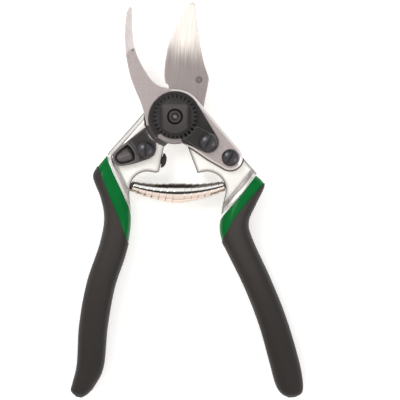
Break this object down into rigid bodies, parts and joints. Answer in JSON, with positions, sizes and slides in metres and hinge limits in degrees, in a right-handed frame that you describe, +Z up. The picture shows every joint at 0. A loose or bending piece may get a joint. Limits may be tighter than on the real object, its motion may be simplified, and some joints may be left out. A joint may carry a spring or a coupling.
{
  "type": "bypass pruning shears",
  "caption": "One-hand bypass pruning shears with a curved cutting blade, hooked counter blade, volute spring, thumb catch and sleeved handles.",
  "frame": {"origin": "on the pivot axis, at the flat underside of the pivot bolt's head, which is the table plane", "axes": "+Z up along the pivot bolt from the table to the nut, +Y from the pivot towards the blade tips, +X to the side of the cutting blade and the right handle, as seen from the nut side with the handles open"},
  "size_m": [0.1207, 0.2055, 0.0234],
  "materials": {
    "blade_steel": "ground hardened steel, fine brushed lines along the blade",
    "forged_aluminium": "satin forged aluminium, fine bead-blasted",
    "black_steel": "black oxide steel, satin",
    "grip_rubber": "dark warm grey matt soft rubber",
    "green_plastic": "glossy green coating",
    "bumper_rubber": "black rubber",
    "spring_chrome": "bright plated spring strip",
    "bronze": "plain bronze"
  },
  "bodies": {
    "blade_side": {"left_handle": "forged_aluminium", "left_grip_band": "green_plastic", "left_grip": "grip_rubber", "cutting_blade": "blade_steel", "blade_pin": "black_steel", "pivot_bush": "bronze", "thrust_washer": "bronze", "stop_bumper": "bumper_rubber", "catch_screw": "black_steel", "catch_washer": "bronze", "left_spring_stud": "black_steel", "volute_spring": "spring_chrome"},
    "hook_side": {"right_handle": "forged_aluminium", "right_grip_band": "green_plastic", "right_grip": "grip_rubber", "counter_blade": "blade_steel", "hook_screw": "black_steel", "segment_screw": "black_steel", "lock_segment": "black_steel", "nut_plate": "black_steel", "pivot_nut": "black_steel", "pivot_bolt": "black_steel", "right_spring_stud": "black_steel"},
    "thumb_catch": {"thumb_catch": "black_steel"}
  },
  "joints": [
    {"name": "handles_close", "type": "hinge", "parent": "blade_side", "child": "hook_side", "pos_m": [0, 0, 0], "axis": [0, 0, -1], "range_deg": [0, 32], "stiffness_Nm_per_rad": 1.5, "springref_deg": -11.46, "deforming": ["volute_spring"]},
    {"name": "catch_turn", "type": "hinge", "parent": "blade_side", "child": "thumb_catch", "pos_m": [-0.0153, -0.0171, 0.0117], "axis": [0, 0, -1], "range_deg": [0, 8.5]}
  ]
}
